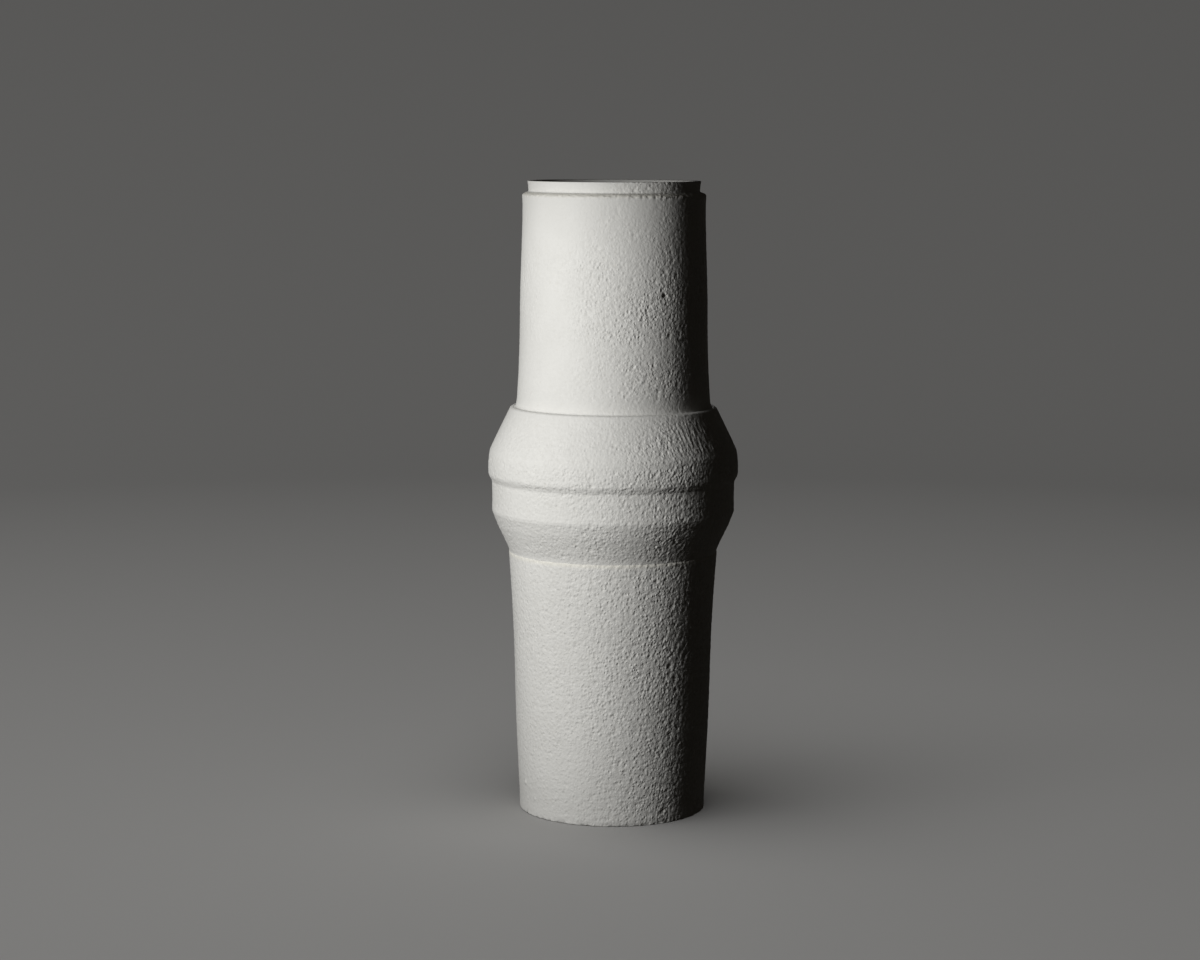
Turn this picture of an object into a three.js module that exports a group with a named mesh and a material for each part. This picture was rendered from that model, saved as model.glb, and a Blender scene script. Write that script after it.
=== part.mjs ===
// A tall vase of white grogged stoneware, made of turned rings that stand on one another.
// From the foot up: a tapering cylinder with its floor, a belly in two rings, a neck and a rim collar.
// Each ring seats on the one below by a step, and rolled coils of clay back the seams from inside.
// Units are millimetres, +Z is up, and the origin is the middle of the foot on the resting plane.
import * as THREE from "three";

// Heights, each from one seam to the next
const bodyHeight = 124.3;
const lowerBellyHeight = 32.9;
const upperBellyHeight = 36;
const neckHeight = 101.5;
const rimHeight = 5.3;

// Outer radii of the body, at its foot, a third of the way up, two thirds up and at its top
const footRadius = 44.4;
const bodyLowRadius = 46.2;
const bodyHighRadius = 47.2;
const bodyTopRadius = 49.6;

// Outer radius of the belly at its widest
const bellyRadius = 59.45;

// Outer radii of the neck, at its foot, a third of the way up, two thirds up and at its top
const neckFootRadius = 45.95;
const neckLowRadius = 44.6;
const neckHighRadius = 43.95;
const neckTopRadius = 43.25;

// How far the rim collar is set back from the neck, and how much its wall leans out
const rimSetback = 2.85;
const rimLean = 0.7;

// Ledges and bands that show between the rings
const bodyLedge = 0.3;
const bodyLedgeDrop = 1.5;
const bellyOverhang = 1.85;
const bellyUndercutHeight = 4.8;
const bellyLip = 0.15;
const upperBand = 9.6;
const upperCornerHeight = 5.5;
const upperCornerSetback = 0.55;
const lowerBand = 13.4;
const lowerCornerHeight = 2;
const lowerCornerSetback = 0.5;
const shoulderLedge = 2.35;
const shoulderEdge = 0.4;
const neckFlare = 0.85;
const neckFlareHeight = 3.5;
const neckBevelWidth = 1.9;
const neckBevelHeight = 2.2;
const footBevel = 0.6;
const rimEdge = 0.3;

// Walls and floor
const bodyWall = 6;
const bellyWall = 7;
const neckWall = 5.8;
const floorThickness = 7;
const footRingHeight = 3.5;
const floorLedge = 3.4;

// Seats between the rings; the slip line is the film of slip that lutes them
const slipLine = 0.3;
const tongueHeight = 4;
const tongueWidth = 2.8;
const neckTenonDepth = 4;
const rimTenonDepth = 4;
const rimTenonWidth = 1.8;
const shoulderBoreDepth = 5;

// Coils of clay that back the seams
const coilReach = 4.5;
const coilBulge = 1.8;
const coilEdge = 0.5;

// Facets
const turnSteps = 48;
const wallSteps = 6;
const arcSteps = 3;

// Worked out from the sizes above
const bodyInnerTop = bodyTopRadius - bodyWall;
const bodyInnerFoot = footRadius - bodyWall;
const bodySeamRadius = bodyTopRadius - bodyLedge;
const bodyTongueRadius = bodyInnerTop + tongueWidth;
const floorTop = footRingHeight + slipLine + floorThickness;
const bandRadius = bellyRadius - bellyOverhang;
const bellyInner = bandRadius - bellyWall;
const bellyTongueRadius = bellyInner + tongueWidth;
const neckInnerFoot = neckFootRadius - neckWall;
const neckInnerTop = neckTopRadius - neckWall;
const neckTenonRadius = neckInnerFoot + tongueWidth;
const neckSeamRadius = neckFootRadius + neckFlare;
const shoulderBore = neckTenonRadius + slipLine;
const shoulderRadius = neckSeamRadius + shoulderLedge;
const rimFootRadius = neckTopRadius - rimSetback;
const rimRadius = rimFootRadius + rimLean;
const rimInner = neckInnerTop;
const rimTenonRadius = rimInner + rimTenonWidth;
const rimBore = rimTenonRadius + slipLine;

// Seam heights above the resting plane
const bodySeam = bodyHeight;
const bellySeam = bodySeam + lowerBellyHeight;
const neckSeam = bellySeam + upperBellyHeight;
const rimSeam = neckSeam + neckHeight;

const clay = { color: 0xdcdbd5, roughness: 0.95, metalness: 0 };
const coilClay = { color: 0xd2cfc6, roughness: 0.95, metalness: 0 };

// A point of an outline: distance from the axis, height above the ring's seam
function at(radius, height) {
  return new THREE.Vector2(radius, height);
}

// A quarter of an ellipse from one point to another; the corner is where its two tangents meet
function rounded(from, corner, to) {
  const points = [];
  for (let step = 0; step <= arcSteps; step++) {
    const angle = (step / arcSteps) * (Math.PI / 2);
    const across = 1 - Math.sin(angle);
    const along = 1 - Math.cos(angle);
    points.push(
      at(
        corner.x + (from.x - corner.x) * across + (to.x - corner.x) * along,
        corner.y + (from.y - corner.y) * across + (to.y - corner.y) * along,
      ),
    );
  }
  return points;
}

// A smooth wall through four radii, evenly spaced in height from bottom to top
function wallCurve(radii, bottom, top) {
  const rise = (top - bottom) / (radii.length - 1);
  const stations = radii.map((radius, index) => at(radius, bottom + rise * index));
  return new THREE.SplineCurve(stations).getPoints(wallSteps);
}

// The inner face of a wall, from top to bottom, between two heights
function innerFace(wall, thickness, bottom, top) {
  return wall
    .map((point) => at(point.x - thickness, point.y))
    .filter((point) => point.y > bottom + 1 && point.y < top - 1)
    .reverse();
}

// Turns a closed outline, outer face going up, round the Z axis
function turned(name, outline, finish, seam) {
  const geometry = new THREE.LatheGeometry(outline, turnSteps);
  geometry.rotateX(Math.PI / 2);
  const mesh = new THREE.Mesh(geometry, new THREE.MeshStandardMaterial(finish));
  mesh.name = name;
  mesh.position.z = seam;
  return mesh;
}

function ring(name, outline, finish, seam) {
  return turned(name, [...outline, outline[0]], finish, seam);
}

// The cylinder that the vase stands on, with a tongue on top and a ledge inside for the floor
function bodyCylinder() {
  const wall = wallCurve(
    [footRadius, bodyLowRadius, bodyHighRadius, bodyTopRadius],
    footBevel,
    bodyHeight - bodyLedgeDrop,
  );
  const tongueTop = bodyHeight + tongueHeight;
  const outline = [
    at(bodyInnerFoot - floorLedge, 0),
    at(footRadius - footBevel, 0),
    ...wall,
    at(bodySeamRadius, bodyHeight),
    at(bodyTongueRadius, bodyHeight),
    at(bodyTongueRadius, tongueTop),
    at(bodyInnerTop, tongueTop),
    at(bodyInnerTop, bodyHeight - bodyLedgeDrop),
    ...innerFace(wall, bodyWall, floorTop, bodyHeight - bodyLedgeDrop),
    at(bodyInnerFoot, floorTop),
    at(bodyInnerFoot, footRingHeight),
    at(bodyInnerFoot - floorLedge, footRingHeight),
  ];
  return ring("lower_cylinder", outline, clay, 0);
}

// The round slab that closes the foot, let into the cylinder above its foot ring
function floorDisc() {
  const edge = bodyInnerFoot - slipLine;
  const underside = footRingHeight + slipLine;
  const outline = [at(0, underside), at(edge, underside), at(edge, floorTop), at(0, floorTop)];
  return turned("floor_disc", outline, clay, 0);
}

// The lower half of the belly: a cone that widens upwards to an upright band
function lowerBelly() {
  const cornerTop = lowerBellyHeight - lowerBand;
  const coneFoot = at(bodySeamRadius, slipLine);
  const corner = at(bandRadius, cornerTop);
  const coneTop = at(bandRadius - lowerCornerSetback, cornerTop - lowerCornerHeight);
  const socketTop = tongueHeight + slipLine;
  const outline = [
    at(bodyTongueRadius + slipLine, slipLine),
    coneFoot,
    coneTop,
    corner,
    at(bandRadius, lowerBellyHeight),
    at(bellyTongueRadius, lowerBellyHeight),
    at(bellyTongueRadius, lowerBellyHeight + tongueHeight),
    at(bellyInner, lowerBellyHeight + tongueHeight),
    at(bellyInner, cornerTop),
    at(bodyInnerTop, socketTop),
    at(bodyTongueRadius + slipLine, socketTop),
  ];
  return ring("lower_belly_ring", outline, clay, bodySeam);
}

// The upper half of the belly: it overhangs the lower ring, and slopes in to the neck's ledge
function upperBelly() {
  const bandFoot = at(bellyRadius, bellyUndercutHeight);
  const undercut = rounded(
    at(bandRadius + bellyLip, slipLine),
    at(bellyRadius, bellyUndercutHeight / 2),
    bandFoot,
  );
  const bandTop = at(bellyRadius, upperBand);
  const cornerTop = at(bellyRadius - upperCornerSetback, upperBand + upperCornerHeight);
  const shoulder = rounded(bandTop, at(bellyRadius, upperBand + upperCornerHeight / 2), cornerTop);
  const socketTop = tongueHeight + slipLine;
  const outline = [
    at(bellyTongueRadius + slipLine, slipLine),
    ...undercut,
    ...shoulder,
    at(shoulderRadius, upperBellyHeight - shoulderEdge),
    at(shoulderRadius - shoulderEdge, upperBellyHeight),
    at(shoulderBore, upperBellyHeight),
    at(shoulderBore, upperBellyHeight - shoulderBoreDepth),
    at(bellyInner, upperBand + upperCornerHeight),
    at(bellyInner, socketTop),
    at(bellyTongueRadius + slipLine, socketTop),
  ];
  return ring("upper_belly_ring", outline, clay, bellySeam);
}

// The neck: it flares at its foot, stands on the belly's ledge, and its tenon drops into the bore
function neckCylinder() {
  const wallTop = neckHeight - neckBevelHeight;
  const wall = wallCurve(
    [neckFootRadius, neckLowRadius, neckHighRadius, neckTopRadius],
    neckFlareHeight,
    wallTop,
  );
  const flare = rounded(
    at(neckSeamRadius, slipLine),
    at(neckFootRadius, neckFlareHeight / 2),
    at(neckFootRadius, neckFlareHeight),
  );
  const bevel = rounded(
    at(neckTopRadius, wallTop),
    at(neckTopRadius, neckHeight),
    at(neckTopRadius - neckBevelWidth, neckHeight),
  );
  const boreFoot = neckHeight - rimTenonDepth - slipLine;
  const outline = [
    at(neckInnerFoot, -neckTenonDepth),
    at(neckTenonRadius, -neckTenonDepth),
    at(neckTenonRadius, slipLine),
    ...flare,
    ...wall.slice(1, -1),
    ...bevel,
    at(rimBore, neckHeight),
    at(rimBore, boreFoot),
    at(neckInnerTop, boreFoot),
    ...innerFace(wall, neckWall, neckFlareHeight, boreFoot),
    at(neckInnerFoot, neckFlareHeight),
  ];
  return ring("neck_cylinder", outline, clay, neckSeam);
}

// The thin collar round the mouth: its tenon sits in the bore at the neck's top
function rimCollar() {
  const outline = [
    at(rimInner, -rimTenonDepth),
    at(rimTenonRadius, -rimTenonDepth),
    at(rimTenonRadius, slipLine),
    at(rimFootRadius, slipLine),
    at(rimRadius, rimHeight - rimEdge),
    at(rimRadius - rimEdge, rimHeight),
    at(rimInner + rimEdge, rimHeight),
    at(rimInner, rimHeight - rimEdge),
  ];
  return ring("rim_collar", outline, clay, rimSeam);
}

// A coil pressed along a seam: it lies on the wall below and above the seam, and bulges into the vase.
// The bulge is measured from the wall at the seam, so it also covers a seam where the wall turns outwards.
function seamCoil(name, wallRadius, slopeAbove, seamHeight, seam) {
  const low = at(wallRadius, seamHeight - coilReach);
  const middle = at(wallRadius, seamHeight);
  const high = at(wallRadius + slopeAbove * coilReach, seamHeight + coilReach);
  const hollow = (high.x - low.x) / 2;
  const face = new THREE.QuadraticBezierCurve(
    at(high.x - coilEdge, high.y),
    at(wallRadius - hollow - coilEdge - 2 * coilBulge, seamHeight),
    at(low.x - coilEdge, low.y),
  );
  return ring(name, [low, middle, high, ...face.getPoints(arcSteps)], coilClay, seam);
}

// The coil in the corner between floor and wall, hollowed by a finger
function floorCoil() {
  const wall = bodyInnerFoot - slipLine;
  const foot = floorTop + slipLine;
  const hollow = rounded(
    at(wall - coilEdge, foot + coilReach),
    at(wall - coilEdge, foot + coilEdge),
    at(wall - coilReach, foot + coilEdge),
  );
  const outline = [at(wall - coilReach, foot), at(wall, foot), at(wall, foot + coilReach), ...hollow];
  return ring("floor_seam_coil", outline, coilClay, 0);
}

function bodyCoil() {
  const seamHeight = tongueHeight + slipLine;
  const slope = (bellyInner - bodyInnerTop) / (lowerBellyHeight - lowerBand - seamHeight);
  return seamCoil("body_seam_coil", bodyInnerTop - slipLine, slope, seamHeight, bodySeam);
}

function bellyCoil() {
  const seamHeight = tongueHeight + slipLine;
  return seamCoil("belly_seam_coil", bellyInner - slipLine, 0, seamHeight, bellySeam);
}

// This coil fills the nook under the neck's tenon, against the slope of the belly
function neckCoil() {
  const top = -neckTenonDepth - slipLine;
  const slopeTop = -shoulderBoreDepth;
  const slopeHeight = upperBellyHeight - shoulderBoreDepth - upperBand - upperCornerHeight;
  const slope = (bellyInner - shoulderBore) / slopeHeight;
  const outline = [
    at(neckInnerFoot, top),
    at(neckInnerFoot + coilEdge, top - coilReach / 2),
    at(shoulderBore + slope * coilReach - slipLine - coilEdge, slopeTop - coilReach),
    at(shoulderBore + slope * coilReach - slipLine, slopeTop - coilReach),
    at(shoulderBore - slipLine, slopeTop),
    at(shoulderBore - slipLine, top),
  ];
  return ring("neck_seam_coil", outline, coilClay, neckSeam);
}

const vase = new THREE.Group();
vase.add(
  bodyCylinder(),
  floorDisc(),
  lowerBelly(),
  upperBelly(),
  neckCylinder(),
  rimCollar(),
  floorCoil(),
  bodyCoil(),
  bellyCoil(),
  neckCoil(),
);

export default vase;
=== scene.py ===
import math

import bmesh
import bpy
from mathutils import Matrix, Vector, noise


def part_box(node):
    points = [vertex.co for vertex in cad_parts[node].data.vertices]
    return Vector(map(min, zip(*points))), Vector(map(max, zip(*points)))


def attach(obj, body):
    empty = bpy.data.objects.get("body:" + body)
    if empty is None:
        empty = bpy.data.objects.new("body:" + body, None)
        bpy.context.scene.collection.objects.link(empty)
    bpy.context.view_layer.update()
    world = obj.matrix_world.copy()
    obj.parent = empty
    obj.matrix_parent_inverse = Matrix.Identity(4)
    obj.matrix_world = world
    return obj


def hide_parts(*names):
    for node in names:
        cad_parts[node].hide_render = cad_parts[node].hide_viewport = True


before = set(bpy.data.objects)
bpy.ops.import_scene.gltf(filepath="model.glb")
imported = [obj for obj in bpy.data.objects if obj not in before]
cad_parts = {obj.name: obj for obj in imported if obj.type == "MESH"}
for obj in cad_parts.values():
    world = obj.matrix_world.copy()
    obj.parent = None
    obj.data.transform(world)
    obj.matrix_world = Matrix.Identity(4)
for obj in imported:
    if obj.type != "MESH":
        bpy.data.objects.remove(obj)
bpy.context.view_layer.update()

# A tall vase of matte white stoneware, built of thrown rings: a lower cylinder, two belly rings, a neck
# and a rim collar, over a floor disc and the clay coils that back the seams inside.
# The clay is full of coarse grog, so its turned faces are torn into grains and small holes.
# A piece is shaped in millimetres, in the frame's own axes, and becomes metres when it is finished.
MM = 0.001
# What the pot's lamps light, and what the stage's own lamp lights
pot = bpy.data.collections.new("pot")
backdrop = bpy.data.collections.new("backdrop")


def height_of(node, end):
    """Lowest (0) or highest (1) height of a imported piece, in millimetres."""
    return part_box(node)[end].z / MM


# Heights where the rings meet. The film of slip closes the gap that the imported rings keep.
SLIP = 0.3
BODY_SEAM = height_of("lower_belly_ring", 0) - SLIP
BELLY_SEAM = height_of("upper_belly_ring", 0) - SLIP
NECK_SEAM = height_of("upper_belly_ring", 1)
RIM_SEAM = height_of("neck_cylinder", 1)
MOUTH = height_of("rim_collar", 1)
BODY_TONGUE = height_of("lower_cylinder", 1)
BELLY_TONGUE = height_of("lower_belly_ring", 1)
NECK_TENON = height_of("neck_cylinder", 0)
RIM_TENON = height_of("rim_collar", 0)
FLOOR_UNDER, FLOOR_TOP = height_of("floor_disc", 0), height_of("floor_disc", 1)
FLOOR_LEDGE = FLOOR_UNDER - SLIP
SHOULDER_UNDER = NECK_TENON - 1.4
SHOULDER_EDGE = NECK_TENON - 1.0
RIM_SOCKET = RIM_TENON - SLIP

# Radii where the rings meet, outside and at their seats, and of the bores
BODY_SEAM_RADIUS = 49.4
BELLY_SEAM_RADIUS = 57.7
NECK_SEAM_RADIUS = 48.3
RIM_SEAM_RADIUS = 41.2
FOOT_BORE = 35.0
FLOOR_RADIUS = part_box("floor_disc")[1].x / MM + SLIP
BODY_TONGUE_RADIUS = 46.4
BODY_BORE = 43.6
BELLY_TONGUE_RADIUS = 53.4
BELLY_BORE = 50.6
SHOULDER_BORE = 43.25
NECK_TENON_RADIUS = 42.95
NECK_FOOT_BORE = 40.15
RIM_TENON_RADIUS = 39.25
MOUTH_BORE = 37.45

# Relief of the clay, in millimetres
GRAIN = 1.4
GRAIN_HEIGHT = 0.14
PIT_DEPTH = 0.2
PIT_SHARE = 0.85
PIT_WIDTHS = (0.3, 0.48)
HOLE_SPACING = 5.0
HOLE_DEPTH = 0.35
HOLE_SHARE = 0.3
HOLE_WIDTHS = (0.1, 0.3)
PATCH = 17.0
MOST_TORN = 1.5
# How far from an edge its cream tint reaches: partly a slip stain, partly painted warm bounce light
SLIP_AND_BOUNCE_REACH = 1.8
SWELL = 21.0
SWELL_HEIGHT = 0.05
TURNING_PITCH = 1.15
TURNING_HEIGHT = 0.035
TURNING_DRIFT = 0.035
THROWING_PITCH = 5.5
THROWING_HEIGHT = 0.35
THROWING_DRIFT = 0.015
WIPING_PITCH = 1.4
WIPING_HEIGHT = 0.06
WIPING_DRIFT = 0.05
SMOOTH_GRAIN = 2.0
FLOOR_SPIRAL_HEIGHT = 0.4
UNDERSIDE_SPIRAL_HEIGHT = 0.15
FINGER_DENT = 0.5
COIL_GRAIN = 2.2
COIL_GRAIN_HEIGHT = 0.12
COIL_ROUNDING = 0.3
RAGGED_HEIGHT = 0.4
RAGGED_REACH = 1.4
RAGGED_PITCH = 1.5
CHIP_DEPTH = 0.45
CHIP_REACH = 1.5
CHIP_PITCH = 2.4
GOUGE_DEPTH = 0.24
GOUGE_WIDTH = 1.2
GOUGE_LENGTH = 6.0
GOUGE_SLOPE = 2.0
# Where the gouges are: stops of (degrees from the front, share) and of (height, share)
GOUGE_SIDES = ((14.0, 0.0), (26.0, 1.0), (55.0, 1.0), (70.0, 0.0))
GOUGE_HEIGHTS = ((174.0, 0.0), (177.0, 1.0), (186.0, 1.0), (190.0, 0.0))
# Crumbs of clay low on the wall: degrees from the front, height, radius and rise
CRUMBS = ((-66, 15.0, 1.5, 0.5), (-60, 13.5, 1.1, 0.3), (-55, 8.5, 1.2, 0.35), (-64, 7.5, 1.1, 0.3),
          (-35, 11.5, 1.2, 0.25))
# Fineness of the meshes: the chords that a wide step of a spin is cut into, and the heights of rows on
# inner faces, on hidden seats and on the floor and the coils, which have SMALL_TURNS chords round them
FINE_CHORDS = 10
COARSE_CHORDS = 3
INNER_ROW = 2.0
SEAT_ROW = 4.0
SMALL_ROW = 0.9
SMALL_TURNS = 240
CRISP_CORNER = math.radians(50.0)
# How far behind the outline the fine skin goes, and where its relief would end and over how far it fades
SKIN_DEPTH = 3.45
RELIEF_END = 3.6
RELIEF_FADE = 3.0
# How far a point may lie off the inner outline and still be on the inner face
INNER_REACH = 0.5
# Coarseness of clay that the fingers smoothed, of the coils' bare side and of the trimmed underside
THROWN_COARSENESS = 0.15
COIL_COARSENESS = 0.2
UNDERSIDE_COARSENESS = 0.7


def between(stops, place):
    """Value at a place among (place, value) stops in rising order, held level past the ends."""
    if place <= stops[0][0]:
        return stops[0][1]
    for (near, low), (far, high) in zip(stops, stops[1:]):
        if place <= far:
            return low + (high - low) * (place - near) / (far - near)
    return stops[-1][1]


def eased(value):
    """0 to 1 with soft ends."""
    value = min(max(value, 0.0), 1.0)
    return value * value * (3.0 - 2.0 * value)


def side_of(point):
    """Degrees round the pot from its front, rising to the right."""
    return math.degrees(math.atan2(point.x, -point.y))


# Relief


def pit_at(point, spacing, share, least, most):
    """Depth, 0 to 1, of the round pit at a point, if any.

    A share of the cells, spacing wide, hold a pit each, with a radius of least to most of a cell.
    """
    distances, centres = noise.voronoi(point / spacing)
    chance = noise.cell(centres[0] * 13.7)
    if chance > 2.0 * share - 1.0:
        return 0.0
    width = least + (most - least) * abs(chance)
    return max(0.0, 1.0 - (distances[0] / width) ** 2)


def torn_clay(point, pitting):
    """Height of coarse trimmed clay at a point, and how much of a hole is there, from 0 to 1."""
    grains = noise.noise(point / GRAIN)
    pit = pit_at(point, pitting, PIT_SHARE, *PIT_WIDTHS)
    hole = pit_at(point, HOLE_SPACING, HOLE_SHARE, *HOLE_WIDTHS)
    return GRAIN_HEIGHT * grains - PIT_DEPTH * pit - HOLE_DEPTH * hole, max(hole, 0.5 * pit)


def lines_at(point, pitch, drift):
    """Level lines round the pot at a point, pitch apart. drift is how fast they change round it."""
    return noise.noise(Vector((point.x * drift, point.y * drift, point.z / pitch)))


def turned_clay(point):
    """Height of the slow swell and the fine lines that turning leaves, at a point on the outside."""
    swell = noise.noise(point / SWELL)
    line = lines_at(point, TURNING_PITCH, TURNING_DRIFT)
    return SWELL_HEIGHT * (swell - 0.5) + TURNING_HEIGHT * line


def thrown_clay(point):
    """Height of the soft rings that the fingers leave inside, at a point on an inner face."""
    ring = lines_at(point, THROWING_PITCH, THROWING_DRIFT)
    wipe = lines_at(point, WIPING_PITCH, WIPING_DRIFT)
    return THROWING_HEIGHT * ring + WIPING_HEIGHT * wipe + 0.05 * noise.noise(point / SMOOTH_GRAIN)


# Rings


def upright_edges(bm):
    """The edges that run along the section, not round the pot."""
    for edge in bm.edges:
        one, other = (vert.co for vert in edge.verts)
        if abs(one.x * other.y - one.y * other.x) < 0.02 * max(one.xy.length, 1.0):
            yield edge


def place_in_section(vert):
    """A number that tells a section's points apart, rising with height and then with radius."""
    return 1000.0 * vert.co.z + vert.co.x


def put_in_order(bm):
    """Puts a section's points and edges, which a bevel leaves in any order, in the same order each run."""
    for vert in bm.verts:
        vert.co = [round(share, 4) for share in vert.co]
    bm.verts.sort(key=place_in_section)
    pairs = [sorted(edge.verts, key=place_in_section) for edge in bm.edges]
    for edge in bm.edges[:]:
        bm.edges.remove(edge)
    for pair in sorted(pairs, key=lambda pair: [place_in_section(vert) for vert in pair]):
        bm.edges.new(pair)


def spun(corners, turns, is_coarse=None, closed=True):
    """A ring: the section's (radius, height, rounding) corners, joined, rounded and spun round the axis.

    The spin takes a few wide steps, whose chords are then cut and put back on their circles. The chords
    that is_coarse picks, by radius and height, are cut less. An open section starts and ends on the axis.
    """
    bm = bmesh.new()
    points = [bm.verts.new((radius, 0.0, height)) for radius, height, rounding in corners]
    for pair in zip(points, points[1:] + points[:1] if closed else points[1:]):
        bm.edges.new(pair)
    for size in sorted({rounding for radius, height, rounding in corners if rounding}):
        round_ones = [point for point, corner in zip(points, corners) if corner[2] == size]
        bmesh.ops.bevel(bm, geom=round_ones, offset=size, offset_type="OFFSET", segments=3, profile=0.5,
                        affect="VERTICES", material=-1)
    put_in_order(bm)
    wide = math.tau / (turns // FINE_CHORDS)
    bmesh.ops.spin(bm, geom=bm.verts[:] + bm.edges[:], cent=(0, 0, 0), axis=(0, 0, 1), angle=math.tau,
                   steps=turns // FINE_CHORDS, use_merge=True)
    bmesh.ops.remove_doubles(bm, verts=bm.verts, dist=0.001)
    upright = set(upright_edges(bm))
    chords = {FINE_CHORDS: [], COARSE_CHORDS: []}
    for edge in bm.edges:
        if edge not in upright:
            place = edge.verts[0].co
            coarse = is_coarse and is_coarse(place.xy.length, place.z)
            chords[COARSE_CHORDS if coarse else FINE_CHORDS].append(edge)
    for pieces, edges in chords.items():
        bmesh.ops.subdivide_edges(bm, edges=edges, cuts=pieces - 1, use_grid_fill=False,
                                  use_single_edge=not closed)
    for vert in bm.verts:
        off_middle = math.atan2(vert.co.y, vert.co.x) % wide - wide / 2
        vert.co.xy *= math.cos(off_middle) / math.cos(wide / 2)
    bmesh.ops.recalc_face_normals(bm, faces=bm.faces)
    return bm


def cut_rows(bm, pitch_at):
    """Cuts the faces into rows and keeps the corners crisp. pitch_at gives a row's height at a place."""
    by_cuts = {}
    for edge in upright_edges(bm):
        middle = (edge.verts[0].co + edge.verts[1].co) / 2
        cuts = round(edge.calc_length() / pitch_at(middle.xy.length, middle.z) - 0.4)
        if cuts > 0:
            by_cuts.setdefault(cuts, []).append(edge)
    for cuts, edges in sorted(by_cuts.items()):
        bmesh.ops.subdivide_edges(bm, edges=edges, cuts=cuts, use_grid_fill=False)
    bm.normal_update()
    for face in bm.faces:
        face.smooth = True
    for edge in bm.edges:
        edge.smooth = edge.calc_face_angle(0.0) < CRISP_CORNER


def finished(name, bm, finish, node):
    """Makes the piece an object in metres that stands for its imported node."""
    bmesh.ops.scale(bm, vec=(MM, MM, MM), verts=bm.verts)
    mesh = bpy.data.meshes.new(name)
    bm.to_mesh(mesh)
    bm.free()
    mesh.materials.append(finish)
    piece = bpy.data.objects.new(name, mesh)
    bpy.context.scene.collection.objects.link(piece)
    pot.objects.link(piece)
    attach(piece, "root")
    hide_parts(node)


def stuck_crumbs(point):
    """Height at a point of the crumbs of clay that stuck low on the wall, left of the front."""
    total = 0.0
    for side, height, reach, rise in CRUMBS:
        across = math.radians(side_of(point) - side) * point.xy.length
        total += rise * eased(1.3 * (1.0 - math.hypot(across, point.z - height) / reach))
    return total


def ragged_edge(height):
    """The mark of an edge at a height that tore into crumbs as it was turned."""
    def rise(point):
        nearness = eased(1.0 - abs(point.z - height) / RAGGED_REACH)
        return RAGGED_HEIGHT * nearness * noise.noise(point / RAGGED_PITCH)
    return rise


def chipped_foot(point):
    """Height at a point of the chips along the foot's lower edge, below nought."""
    lowness = eased(1.0 - point.z / CHIP_REACH)
    return -CHIP_DEPTH * lowness * eased(1.6 * noise.noise(point / CHIP_PITCH) + 0.3)


def trimming_gouges(point):
    """Height at a point of the steep strokes that a trimming tool left on the cone, right of the front."""
    side = side_of(point)
    fade = eased(between(GOUGE_SIDES, side)) * eased(between(GOUGE_HEIGHTS, point.z))
    if fade == 0.0:
        return 0.0
    across = math.radians(side) * point.xy.length
    length = math.hypot(GOUGE_SLOPE, 1.0)
    off_stroke = (GOUGE_SLOPE * across + point.z) / length
    along_stroke = (across - GOUGE_SLOPE * point.z) / length
    stroke = noise.noise(Vector((off_stroke / GOUGE_WIDTH, along_stroke / GOUGE_LENGTH, 0.0)))
    return GOUGE_DEPTH * stroke * fade


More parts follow.
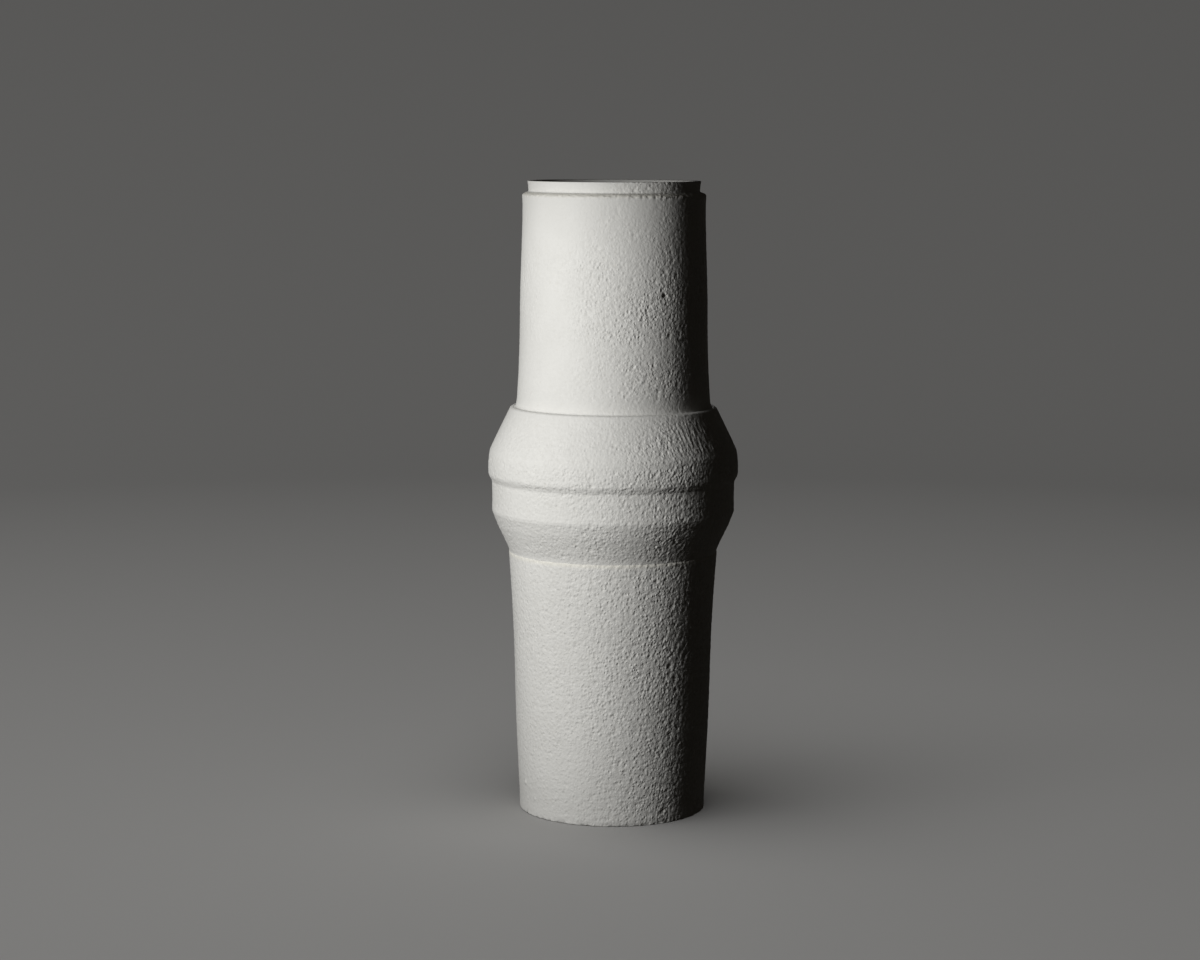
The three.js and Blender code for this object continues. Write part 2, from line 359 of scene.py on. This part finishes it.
def outer_ring(name, node, outer, top_seat, inner, bottom_seat, turns, torn, sides, patchy, pitting,
               slip_and_bounce_edges=(), marks=()):
    """A ring of the wall. Its outside is torn and turned clay, and its inside is thrown clay.

    outer runs up and inner runs down, as (radius, height, rounding), and the seats join them. turns is how
    many chords there are in the circle. torn holds (height, amount) stops of how coarse the outside is, and
    sides (degrees, share) stops round it. patchy is how much the coarseness comes and goes, and pitting the
    spacing of the pits. slip_and_bounce_edges holds the heights of edges tinted cream, partly a slip stain
    and partly painted warm bounce light in the crease, and marks the functions of what else was pressed
    into the ring or stuck to it.
    """
    outside = [(height, radius) for radius, height, rounding in outer]
    inside = sorted((height, radius) for radius, height, rounding in inner)
    fine = math.tau * max(radius for radius, height, rounding in outer) / turns

    def depth_at(radius, height):
        return between(outside, height) - radius

    def is_coarse(radius, height):
        return depth_at(radius, height) > SKIN_DEPTH

    def is_inner(radius, height):
        return radius - between(inside, height) < INNER_REACH

    def pitch_at(radius, height):
        if not is_coarse(radius, height):
            return fine
        return INNER_ROW if is_inner(radius, height) else SEAT_ROW

    def outward(point):
        reach = 0.3
        rise = between(outside, point.z + reach) - between(outside, point.z - reach)
        away = point.xy.normalized()
        return Vector((away.x, away.y, -rise / (2.0 * reach))).normalized()

    bm = spun(outer + top_seat + inner + bottom_seat, turns, is_coarse)
    cut_rows(bm, pitch_at)
    hole_layer = bm.verts.layers.float.new("hole")
    torn_layer = bm.verts.layers.float.new("torn")
    slip_and_bounce_layer = bm.verts.layers.float.new("cream")
    moves = []
    for vert in bm.verts:
        point = vert.co
        radius = point.xy.length
        depth = depth_at(radius, point.z)
        if depth < SKIN_DEPTH:
            near = eased((RELIEF_END - depth) / RELIEF_FADE)
            amount = between(torn, point.z) * between(sides, side_of(point))
            amount *= 1.0 + patchy * noise.noise(point / PATCH)
            amount = min(max(amount, 0.0), MOST_TORN)
            height, hole = torn_clay(point, pitting)
            height = height * amount + turned_clay(point) + sum(mark(point) for mark in marks)
            # How much of a hole is there; the clay tints it darker and browner, partly its own brown,
            # partly painted shade
            vert[hole_layer] = hole * amount * near
            vert[torn_layer] = amount * near
            # Cream tint near the given edges: partly a slip stain, partly painted warm bounce light in the
            # crease
            slip_and_bounce_tints = [eased(1.0 - abs(point.z - edge) / SLIP_AND_BOUNCE_REACH) for edge in slip_and_bounce_edges]
            vert[slip_and_bounce_layer] = max(slip_and_bounce_tints, default=0.0)
            moves.append((vert, outward(point) * (height * near)))
        elif is_inner(radius, point.z):
            vert[torn_layer] = THROWN_COARSENESS
            moves.append((vert, vert.normal * thrown_clay(point)))
    for vert, move in moves:
        vert.co += move
    finished(name, bm, torn_white_clay, node)


# Finishes
SPECK_BROWN = (0.66, 0.62, 0.54, 1.0)
SPECK_TINT = 0.2
# Brownish darkening in holes and pits: partly their own tint, partly painted shade in them
HOLE_BROWN_AND_SHADE = (0.52, 0.49, 0.43, 1.0)
HOLE_TINT_AND_SHADE = 0.08
# Cream tint on some edges: partly a slip stain, partly painted warm bounce light in the crease
SLIP_AND_BOUNCE_CREAM = (0.84, 0.815, 0.73, 1.0)
SLIP_AND_BOUNCE_TINT = 0.6
ROUGHNESS_SPREAD = 0.08
# The skin's inputs, with their values in torn clay: sizes, depths and heights in millimetres
SKIN_INPUTS = (("Torn", 1.0),
               ("Pit Size", 1.9), ("Pit Depth", 0.17), ("Pit Share", 0.9),
               ("Crumb Size", 1.7), ("Crumb Height", 0.15), ("Crumb Share", 0.8),
               ("Grit Size", 1.0), ("Grit Height", 0.27), ("Grit Detail", 3.0), ("Grit Roughness", 0.6),
               ("Line Height", 0.03))


def node_helpers(tree):
    """Two helpers for a node tree: put feeds a socket, and worked gives the result of a Math node."""
    def put(value, socket):
        if isinstance(value, bpy.types.NodeSocket):
            tree.links.new(value, socket)
        else:
            socket.default_value = value

    def worked(operation, *values):
        node = tree.nodes.new("ShaderNodeMath")
        node.operation = operation
        for socket, value in zip(node.inputs, values):
            put(value, socket)
        return node.outputs[0]

    return put, worked


def grogged_skin():
    """Shared skin of the clay, in millimetres: torn pits, crumbs, grit, turning lines, specks and clouds.

    Torn is how coarse the face is there. Height goes to a Bump node of 1 mm, and the masks run from 0 to 1.
    """
    group = bpy.data.node_groups.new("grogged_skin", "ShaderNodeTree")
    face = group.interface
    for socket, start in SKIN_INPUTS:
        made = face.new_socket(socket, in_out="INPUT", socket_type="NodeSocketFloat")
        made.default_value = start
    for socket in ("Height", "Pits", "Speckle", "Cloud", "Mottle"):
        face.new_socket(socket, in_out="OUTPUT", socket_type="NodeSocketFloat")
    nodes, links = group.nodes, group.links
    given, result = nodes.new("NodeGroupInput"), nodes.new("NodeGroupOutput")
    place = nodes.new("ShaderNodeTexCoord")
    put, worked = node_helpers(group)

    def millimetres(stretch, shift=0.0):
        mapping = nodes.new("ShaderNodeMapping")
        mapping.inputs["Scale"].default_value = [share / MM for share in stretch]
        mapping.inputs["Location"].default_value = (shift, shift, shift)
        links.new(place.outputs["Object"], mapping.inputs["Vector"])
        return mapping.outputs["Vector"]

    def noise_of(source, size, detail, roughness=0.6):
        texture = nodes.new("ShaderNodeTexNoise")
        put(source, texture.inputs["Vector"])
        put(worked("DIVIDE", 1.0, size), texture.inputs["Scale"])
        put(detail, texture.inputs["Detail"])
        put(roughness, texture.inputs["Roughness"])
        return texture.outputs["Fac"]

    def bowls_of(source, size, share, least, spread):
        """Round bowls, 1 in the middle, fading with the coarseness, in a share of the cells.

        Their radius is least to least + spread of a cell.
        """
        cells = nodes.new("ShaderNodeTexVoronoi")
        put(source, cells.inputs["Vector"])
        put(worked("DIVIDE", 1.0, size), cells.inputs["Scale"])
        chances = nodes.new("ShaderNodeSeparateColor")
        put(cells.outputs["Color"], chances.inputs["Color"])
        width = worked("MULTIPLY_ADD", chances.outputs["Red"], spread, least)
        width = worked("MULTIPLY", width, worked("LESS_THAN", chances.outputs["Green"], share))
        off_middle = worked("DIVIDE", cells.outputs["Distance"], worked("MAXIMUM", width, 0.001))
        bowl = worked("MAXIMUM", worked("SUBTRACT", 1.0, worked("MULTIPLY", off_middle, off_middle)), 0.0)
        return worked("MULTIPLY", worked("POWER", bowl, 1.5), worked("POWER", given.outputs["Torn"], 1.5))

    grain = (1.0, 1.0, 0.9)
    even = millimetres(grain)
    torn = given.outputs["Torn"]
    pits = bowls_of(even, given.outputs["Pit Size"], given.outputs["Pit Share"], least=0.32, spread=0.3)
    crumbs = bowls_of(millimetres(grain, 7.3), given.outputs["Crumb Size"], given.outputs["Crumb Share"],
                      least=0.3, spread=0.3)
    grit = noise_of(even, given.outputs["Grit Size"], given.outputs["Grit Detail"],
                    given.outputs["Grit Roughness"])
    grit = worked("MULTIPLY", grit, worked("MULTIPLY_ADD", torn, 0.8, 0.2))
    lines = noise_of(millimetres((0.03, 0.03, 1.0)), size=0.9, detail=1.0)
    height = worked("MULTIPLY", grit, given.outputs["Grit Height"])
    height = worked("MULTIPLY_ADD", lines, given.outputs["Line Height"], height)
    height = worked("MULTIPLY_ADD", crumbs, given.outputs["Crumb Height"], height)
    height = worked("SUBTRACT", height, worked("MULTIPLY", pits, given.outputs["Pit Depth"]))
    links.new(height, result.inputs["Height"])
    links.new(pits, result.inputs["Pits"])
    links.new(noise_of(even, size=1.6, detail=1.0), result.inputs["Speckle"])
    links.new(noise_of(even, size=30.0, detail=3.0), result.inputs["Cloud"])
    mottle = noise_of(millimetres((0.6, 0.6, 1.0), 3.1), size=1.3, detail=2.0)
    links.new(worked("MULTIPLY_ADD", worked("SUBTRACT", mottle, 0.5), torn, 0.5), result.inputs["Mottle"])
    return group


def clay(name, light, dark, roughness, **skin_values):
    """Matte fired clay with the shared skin. It is cloudy, and darker and browner in holes and pits: partly
    their own tint, partly painted shade. Edges are tinted cream: partly a slip stain, partly painted warm
    bounce light.

    skin_values are the skin's inputs that differ from torn clay's, written in small letters.
    """
    material = bpy.data.materials.new(name)
    material.use_nodes = True
    nodes, links = material.node_tree.nodes, material.node_tree.links
    shader = nodes["Principled BSDF"]
    skin = nodes.new("ShaderNodeGroup")
    skin.node_tree = skin_group
    put, worked = node_helpers(material.node_tree)
    for socket, value in skin_values.items():
        skin.inputs[socket.replace("_", " ").title()].default_value = value

    def attribute(layer):
        node = nodes.new("ShaderNodeAttribute")
        node.attribute_name = layer
        return node.outputs["Fac"]

    def mixed(factor, one, other):
        node = nodes.new("ShaderNodeMix")
        node.data_type = "RGBA"
        for socket, value in (("Factor", factor), ("A", one), ("B", other)):
            put(value, node.inputs[socket])
        return node.outputs["Result"]

    def spread(value, low, high):
        node = nodes.new("ShaderNodeMapRange")
        node.inputs["From Min"].default_value = low
        node.inputs["From Max"].default_value = high
        links.new(value, node.inputs["Value"])
        return node.outputs["Result"]

    links.new(attribute("torn"), skin.inputs["Torn"])
    clouds = spread(skin.outputs["Cloud"], low=0.35, high=0.65)
    mottles = worked("MULTIPLY", spread(skin.outputs["Mottle"], low=0.3, high=0.7), 0.7)
    colour = mixed(worked("MULTIPLY_ADD", clouds, 0.3, mottles), (*dark, 1.0), (*light, 1.0))
    specks = worked("MULTIPLY", spread(skin.outputs["Speckle"], low=0.64, high=0.8), SPECK_TINT)
    colour = mixed(specks, colour, SPECK_BROWN)
    # Holes and pits darker and browner: partly their own tint, partly painted shade in them
    holes = worked("MULTIPLY", worked("MAXIMUM", attribute("hole"), skin.outputs["Pits"]), HOLE_TINT_AND_SHADE)
    colour = mixed(holes, colour, HOLE_BROWN_AND_SHADE)
    # Cream on the given edges: partly a slip stain, partly painted warm bounce light in the crease
    colour = mixed(worked("MULTIPLY", attribute("cream"), SLIP_AND_BOUNCE_TINT), colour, SLIP_AND_BOUNCE_CREAM)
    links.new(colour, shader.inputs["Base Color"])
    rough = spread(skin.outputs["Speckle"], low=0.3, high=0.7)
    links.new(worked("MULTIPLY_ADD", rough, ROUGHNESS_SPREAD, roughness), shader.inputs["Roughness"])
    shader.inputs["Specular IOR Level"].default_value = 0.25
    shader.inputs["Diffuse Roughness"].default_value = 0.0
    bump = nodes.new("ShaderNodeBump")
    bump.inputs["Strength"].default_value = 1.0
    bump.inputs["Distance"].default_value = MM
    links.new(skin.outputs["Height"], bump.inputs["Height"])
    links.new(bump.outputs["Normal"], shader.inputs["Normal"])
    return material


skin_group = grogged_skin()
torn_white_clay = clay("torn_white_clay", light=(0.87, 0.862, 0.828), dark=(0.755, 0.747, 0.713),
                       roughness=0.88)
finger_smoothed_clay = clay("finger_smoothed_clay", light=(0.80, 0.79, 0.75), dark=(0.75, 0.74, 0.70),
                            roughness=0.82, pit_depth=0.08, crumb_height=0.05, grit_height=0.15)

# Rings of the wall, from the foot up
BELLY_SIDES = ((-180, 1.0), (-100, 0.8), (-50, 0.75), (-20, 0.85), (10, 1.0), (30, 1.25), (60, 1.25),
               (180, 1.0))


def lower_cylinder():
    """Tapering cylinder on a turned foot ring, with a tongue that the belly drops over."""
    outer = [(44.35, 0.0, 0.25), (44.45, 6.9, 0), (44.97, 16.5, 0), (46.10, 40.6, 0), (46.71, 62.0, 0),
             (47.28, 84.0, 0), (48.25, 103.3, 0), (49.23, 117.7, 0), (49.56, 122.4, 0), (49.56, 123.7, 0),
             (BODY_SEAM_RADIUS, BODY_SEAM, 0)]
    tongue = [(BODY_TONGUE_RADIUS, BODY_SEAM, 0), (BODY_TONGUE_RADIUS, BODY_TONGUE, 0.4)]
    inner = [(BODY_BORE, BODY_TONGUE, 0.4), (BODY_BORE, 122.8, 0), (41.3, 84.0, 0), (40.2, 40.6, 0),
             (FLOOR_RADIUS, FLOOR_TOP, 0), (FLOOR_RADIUS, FLOOR_LEDGE, 0)]
    foot = [(FOOT_BORE, FLOOR_LEDGE, 0), (FOOT_BORE, 0.0, 0.6)]
    torn = ((0, 0.85), (4, 0.95), (30, 1.0), (60, 1.2), (115, 1.25), (121.5, 1.05), (124.0, 0.7))
    sides = ((-180, 1.0), (-100, 0.8), (-60, 0.6), (-20, 0.8), (5, 0.95), (25, 1.25), (60, 1.2), (180, 1.0))
    # The lip's edge is torn into crumbs and tinted cream: partly a slip stain, partly painted warm bounce
    # light
    edge = BODY_SEAM - 0.6
    marks = (stuck_crumbs, chipped_foot, ragged_edge(edge))
    outer_ring("lower_cylinder_clay", "lower_cylinder", outer, tongue, inner, foot, turns=440, torn=torn,
               sides=sides, patchy=0.3, pitting=1.9, slip_and_bounce_edges=(edge,), marks=marks)


def lower_belly_ring():
    """Cone that widens to an upright band, with a socket below and a tongue above."""
    outer = [(BODY_SEAM_RADIUS, BODY_SEAM, 0), (49.75, 125.5, 0), (50.51, 127.4, 0), (52.72, 132.2, 0),
             (55.08, 137.0, 0), (57.0, 141.9, 0), (57.39, 142.9, 0), (57.68, 144.2, 0), (57.57, 148.0, 0),
             (57.58, 151.5, 0), (BELLY_SEAM_RADIUS, BELLY_SEAM, 0)]
    tongue = [(BELLY_TONGUE_RADIUS, BELLY_SEAM, 0), (BELLY_TONGUE_RADIUS, BELLY_TONGUE, 0.4)]
    top = BODY_TONGUE + SLIP
    inner = [(BELLY_BORE, BELLY_TONGUE, 0.4), (BELLY_BORE, 143.8, 0), (BODY_BORE, top, 0)]
    socket = [(BODY_TONGUE_RADIUS + SLIP, top, 0), (BODY_TONGUE_RADIUS + SLIP, BODY_SEAM, 0)]
    torn = ((124.3, 0.5), (128, 0.9), (140, 1.0), (143, 0.85), (146, 0.9), (157, 0.85))
    outer_ring("lower_belly_clay", "lower_belly_ring", outer, tongue, inner, socket, turns=780, torn=torn,
               sides=BELLY_SIDES, patchy=0.4, pitting=1.7)


def upper_belly_ring():
    """Widest band, which overhangs the ring below, with a cone back in to the neck's ledge."""
    outer = [(BELLY_SEAM_RADIUS, BELLY_SEAM, 0), (57.8, 158.0, 0), (58.05, 158.5, 0), (59.15, 160.6, 0),
             (59.38, 161.4, 0), (59.45, 162.4, 0), (59.45, 165.6, 0), (59.41, 166.9, 0), (59.05, 170.8, 0),
             (58.68, 172.7, 0), (56.52, 177.5, 0), (51.90, 187.1, 0), (49.55, 191.9, 0), (49.1, 192.7, 0),
             (NECK_SEAM_RADIUS, NECK_SEAM, 0)]
    ledge = [(46.0, NECK_SEAM, 0), (SHOULDER_BORE, NECK_SEAM, 0), (SHOULDER_BORE, SHOULDER_EDGE, 0)]
    top = BELLY_TONGUE + SLIP
    inner = [(BODY_BORE, SHOULDER_UNDER, 0), (BELLY_BORE, 172.3, 0), (BELLY_BORE, top, 0)]
    socket = [(BELLY_TONGUE_RADIUS + SLIP, top, 0), (BELLY_TONGUE_RADIUS + SLIP, BELLY_SEAM, 0)]
    torn = ((157, 0.8), (160, 1.0), (168, 1.1), (171, 0.75), (174, 0.65), (178, 0.8), (184, 0.7),
            (190, 0.55), (193.2, 0.3))
    outer_ring("upper_belly_clay", "upper_belly_ring", outer, ledge, inner, socket, turns=780, torn=torn,
               sides=BELLY_SIDES, patchy=0.4, pitting=1.7, marks=(trimming_gouges,))


def neck_cylinder():
    """Slightly waisted cylinder, its tenon let into the belly and its top bored for the rim."""
    outer = [(NECK_SEAM_RADIUS, NECK_SEAM, 0), (47.1, 193.25, 0), (46.75, 193.45, 0), (46.45, 193.9, 0),
             (46.2, 194.9, 0), (45.94, 196.7, 0), (45.72, 199.6, 0), (45.17, 209.2, 0), (44.83, 218.8, 0),
             (44.54, 228.5, 0), (44.44, 242.9, 0), (44.23, 252.5, 0), (43.72, 267.0, 0), (43.34, 281.4, 0),
             (43.28, 289.0, 0), (43.44, 291.8, 0), (43.42, 292.9, 0), (43.2, 293.5, 0), (42.75, 293.95, 0),
             (41.8, 294.5, 0), (RIM_SEAM_RADIUS, RIM_SEAM, 0)]
    bore = [(RIM_TENON_RADIUS + SLIP, RIM_SEAM, 0), (RIM_TENON_RADIUS + SLIP, RIM_SOCKET, 0)]
    inner = [(MOUTH_BORE, RIM_SOCKET, 0), (38.2, 262.0, 0), (NECK_FOOT_BORE, NECK_TENON, 0.4)]
    tenon = [(NECK_TENON_RADIUS, NECK_TENON, 0.4), (NECK_TENON_RADIUS, NECK_SEAM, 0)]
    torn = ((193.2, 0.3), (198, 0.35), (202, 0.8), (218, 0.9), (221, 0.55), (225, 0.55), (228, 0.9),
            (262, 0.95), (270, 0.55), (285, 0.35), (291, 0.3), (293, 0.7), (294.7, 0.7))
    sides = ((-180, 1.0), (-100, 0.7), (-45, 0.4), (-5, 0.95), (25, 1.2), (60, 1.2), (180, 1.0))
    # The neck's top under the collar is tinted cream: partly a slip stain, partly painted warm bounce light
    outer_ring("neck_clay", "neck_cylinder", outer, bore, inner, tenon, turns=490, torn=torn, sides=sides,
               patchy=0.6, pitting=2.0, slip_and_bounce_edges=(RIM_SEAM - 0.7,), marks=(ragged_edge(RIM_SEAM - 1.3),))


def rim_collar():
    """Thin collar round the mouth, set back from the neck and flared a little."""
    outer = [(RIM_SEAM_RADIUS, RIM_SEAM, 0), (40.65, 294.95, 0), (40.5, 295.4, 0), (40.66, 297.8, 0),
             (41.02, MOUTH, 0.4)]
    lip = [(MOUTH_BORE, MOUTH, 0.8)]
    inner = [(MOUTH_BORE, RIM_TENON, 0.3)]
    tenon = [(RIM_TENON_RADIUS, RIM_TENON, 0.3), (RIM_TENON_RADIUS, RIM_SEAM, 0)]
    torn = ((294.7, 0.6), (298, 0.6), (300, 0.8))
    sides = ((-180, 0.8), (-100, 0.6), (-45, 0.3), (-15, 0.4), (-5, 0.7), (12, 1.2), (40, 1.6), (60, 1.1),
             (180, 0.8))
    outer_ring("rim_clay", "rim_collar", outer, lip, inner, tenon, turns=500, torn=torn, sides=sides,
               patchy=0.3, pitting=1.5)


# Floor and coils, inside


def floor_disc():
    """Slab that closes the foot: a thrown spiral on top, a trimmed one underneath."""
    section = [(0.0, FLOOR_LEDGE, 0), (FLOOR_RADIUS, FLOOR_LEDGE, 0), (FLOOR_RADIUS, FLOOR_TOP, 0),
               (0.0, FLOOR_TOP, 0)]
    bm = spun(section, SMALL_TURNS, closed=False)
    cut_rows(bm, lambda radius, height: SMALL_ROW)
    torn_layer = bm.verts.layers.float.new("torn")
    for vert in bm.verts:
        point = vert.co
        radius = point.xy.length
        spiral = math.sin(math.tau * radius / THROWING_PITCH + math.atan2(point.y, point.x))
        inward = eased(radius / 6.0) * eased((FLOOR_RADIUS - radius) / 3.0)
        if point.z > FLOOR_TOP - 0.1:
            vert[torn_layer] = THROWN_COARSENESS
            point.z += inward * FLOOR_SPIRAL_HEIGHT * spiral + 0.08 * noise.noise(point / SMOOTH_GRAIN)
        elif point.z < FLOOR_LEDGE + 0.1 and radius < FLOOR_RADIUS - 3.0:
            vert[torn_layer] = UNDERSIDE_COARSENESS
            point.z += 0.6 * torn_clay(point, pitting=1.7)[0] - inward * UNDERSIDE_SPIRAL_HEIGHT * spiral
    finished("floor_disc_clay", bm, torn_white_clay, "floor_disc")


def pressed_coil(name, node, section, presses):
    """Coil of clay pressed on a seam inside, by a finger that dented it so many times round the pot.

    section holds its (radius, height) corners.
    """
    bm = spun([(radius, height, COIL_ROUNDING) for radius, height in section], SMALL_TURNS)
    cut_rows(bm, lambda radius, height: SMALL_ROW)
    torn_layer = bm.verts.layers.float.new("torn")
    moves = []
    for vert in bm.verts:
        point = vert.co
        away = Vector((point.x, point.y, 0.0)).normalized()
        bare = eased(-1.6 * vert.normal.dot(away))
        turn = math.radians(side_of(point)) * presses + 2.0 * noise.noise(point / 35.0)
        press = (0.5 + 0.5 * math.cos(turn)) ** 2
        vert[torn_layer] = COIL_COARSENESS * bare
        rise = COIL_GRAIN_HEIGHT * noise.noise(point / COIL_GRAIN) - FINGER_DENT * press
        moves.append((vert, vert.normal * (bare * rise)))
    for vert, move in moves:
        vert.co += move
    finished(name, bm, finger_smoothed_clay, node)


def seam_coils():
    """The four coils, each in its own place on the wall or the floor."""
    low, high = height_of("floor_seam_coil", 0), height_of("floor_seam_coil", 1)
    pressed_coil("floor_coil_clay", "floor_seam_coil",
                 [(FLOOR_RADIUS, FLOOR_TOP), (33.6, FLOOR_TOP), (33.8, low + 0.4), (35.6, low + 0.9),
                  (36.9, low + 1.9), (37.6, low + 3.2), (37.8, high), (FLOOR_RADIUS, high)], presses=15)
    low, high = height_of("body_seam_coil", 0), height_of("body_seam_coil", 1)
    pressed_coil("body_coil_clay", "body_seam_coil",
                 [(BODY_BORE, low), (BODY_BORE, 128.6), (45.7, high), (45.1, high), (42.4, 131.0),
                  (41.1, 128.6), (41.5, 126.2), (43.1, low)], presses=17)
    low, high = height_of("belly_seam_coil", 0), height_of("belly_seam_coil", 1)
    pressed_coil("belly_coil_clay", "belly_seam_coil",
                 [(BELLY_BORE, low), (BELLY_BORE, high), (50.1, high), (48.5, 163.9), (48.0, 161.5),
                  (48.5, 159.1), (50.1, low)], presses=19)
    low = height_of("neck_seam_coil", 0)
    pressed_coil("neck_coil_clay", "neck_seam_coil",
                 [(40.3, NECK_TENON), (43.2, NECK_TENON), (SHOULDER_BORE, SHOULDER_EDGE),
                  (BODY_BORE, SHOULDER_UNDER), (45.4, low), (44.6, low), (42.5, 184.6), (40.8, 186.5),
                  (40.3, 188.0)], presses=16)


lower_cylinder()
lower_belly_ring()
upper_belly_ring()
neck_cylinder()
rim_collar()
floor_disc()
seam_coils()

# Stage, in metres
STAGE_RADIUS = 2.3
STAGE_HEIGHT = 2.4
STAGE_BEND = 1.0
STAGE_PAINT = (0.52, 0.515, 0.505, 1.0)


def pale_stage():
    """Plain pale floor that curves up all round into a wall.

    It is hidden from diffuse rays, so that it throws no light back on the pot's shadow side.
    """
    bm = bmesh.new()
    outline = ((0, 0, 0), (0.3, 0, 0), (STAGE_RADIUS, 0, 0), (STAGE_RADIUS, 0, STAGE_HEIGHT))
    corners = [bm.verts.new(place) for place in outline]
    for pair in zip(corners, corners[1:]):
        bm.edges.new(pair)
    bmesh.ops.bevel(bm, geom=[corners[2]], offset=STAGE_BEND, offset_type="OFFSET", segments=24,
                    profile=0.5, affect="VERTICES", material=-1)
    bmesh.ops.spin(bm, geom=bm.verts[:] + bm.edges[:], cent=(0, 0, 0), axis=(0, 0, 1), angle=math.tau,
                   steps=96, use_merge=True)
    bmesh.ops.translate(bm, vec=(0, 0, -0.00005), verts=bm.verts)
    bmesh.ops.recalc_face_normals(bm, faces=bm.faces)
    bmesh.ops.reverse_faces(bm, faces=bm.faces)
    for face in bm.faces:
        face.smooth = True
    mesh = bpy.data.meshes.new("pale_stage")
    bm.to_mesh(mesh)
    bm.free()
    paint = bpy.data.materials.new("pale_stage")
    paint.use_nodes = True
    shader = paint.node_tree.nodes["Principled BSDF"]
    shader.inputs["Base Color"].default_value = STAGE_PAINT
    shader.inputs["Roughness"].default_value = 0.9
    shader.inputs["Specular IOR Level"].default_value = 0.2
    mesh.materials.append(paint)
    stage = bpy.data.objects.new("pale_stage", mesh)
    bpy.context.scene.collection.objects.link(stage)
    backdrop.objects.link(stage)
    stage.visible_diffuse = False


def aimed(light, lit, azimuth, distance, height, aim):
    """Puts a lamp round the pot, azimuth in degrees from the camera's side, and turns it to its aim.

    It lights only what is in the collection lit.
    """
    holder = bpy.data.objects.new(light.name, light)
    turn = math.radians(azimuth)
    holder.location = (distance * math.sin(turn), -distance * math.cos(turn), height)
    holder.rotation_mode = "QUATERNION"
    holder.rotation_quaternion = (Vector(aim) - holder.location).to_track_quat("-Z", "Y")
    holder.visible_camera = False
    holder.light_linking.receiver_collection = lit
    bpy.context.scene.collection.objects.link(holder)


def beam(name, watts, width, softness, bulb):
    """Lamp with a round beam: its width in degrees, how much of its edge is soft, and the bulb's radius."""
    light = bpy.data.lights.new(name, "SPOT")
    light.energy = watts
    light.spot_size = math.radians(width)
    light.spot_blend = softness
    light.shadow_soft_size = bulb
    return light


def panel(name, watts, size):
    """Square soft panel lamp."""
    light = bpy.data.lights.new(name, "AREA")
    light.shape = "SQUARE"
    light.size = size
    light.energy = watts
    return light


pale_stage()

# The key and back lamps light only the pot, and the stage lamp only the stage
aimed(beam("key_lamp", watts=9.9, width=48.0, softness=0.4, bulb=0.08), pot,
      azimuth=-40.5, distance=0.54, height=0.292, aim=(0.0, 0.0, 0.152))
aimed(beam("back_lamp", watts=16.0, width=26.0, softness=0.7, bulb=0.1), pot,
      azimuth=180.0, distance=1.1, height=0.24, aim=(0.0, 0.0, 0.17))
aimed(panel("stage_lamp", watts=27.0, size=2.0), backdrop,
      azimuth=-45.0, distance=0.6, height=2.2, aim=(0.0, 0.5, 0.0))

# Faint warm light from all round, and the photograph's contrast
ROOM_COLOUR = (1.0, 0.88, 0.72, 1.0)
ROOM_STRENGTH = 0.008
world = bpy.data.worlds.new("studio")
world.use_nodes = True
room = world.node_tree.nodes["Background"]
room.inputs["Color"].default_value = ROOM_COLOUR
room.inputs["Strength"].default_value = ROOM_STRENGTH
bpy.context.scene.world = world
bpy.context.scene.view_settings.view_transform = "Standard"
bpy.context.scene.view_settings.gamma = 0.9

# Camera, at the photograph's viewing angle: just above the rim, looking down a little
EYE = (0.0, -1.320, 0.323)
PITCH_DOWN, ROLL, TURN_LEFT = (math.radians(degrees) for degrees in (6.15, -0.2, 0.296))
SENSOR_WIDTH = 36.0
FRAME_WIDTH = 1200
FOCAL_PIXELS = 2788
camera_data = bpy.data.cameras.new("camera")
camera_data.sensor_width = SENSOR_WIDTH
camera_data.lens = SENSOR_WIDTH * FOCAL_PIXELS / FRAME_WIDTH
camera_data.shift_y = -0.04
camera = bpy.data.objects.new("camera", camera_data)
camera.location = EYE
camera.rotation_euler = (math.pi / 2 - PITCH_DOWN, ROLL, TURN_LEFT)
bpy.context.scene.collection.objects.link(camera)
bpy.context.scene.camera = camera
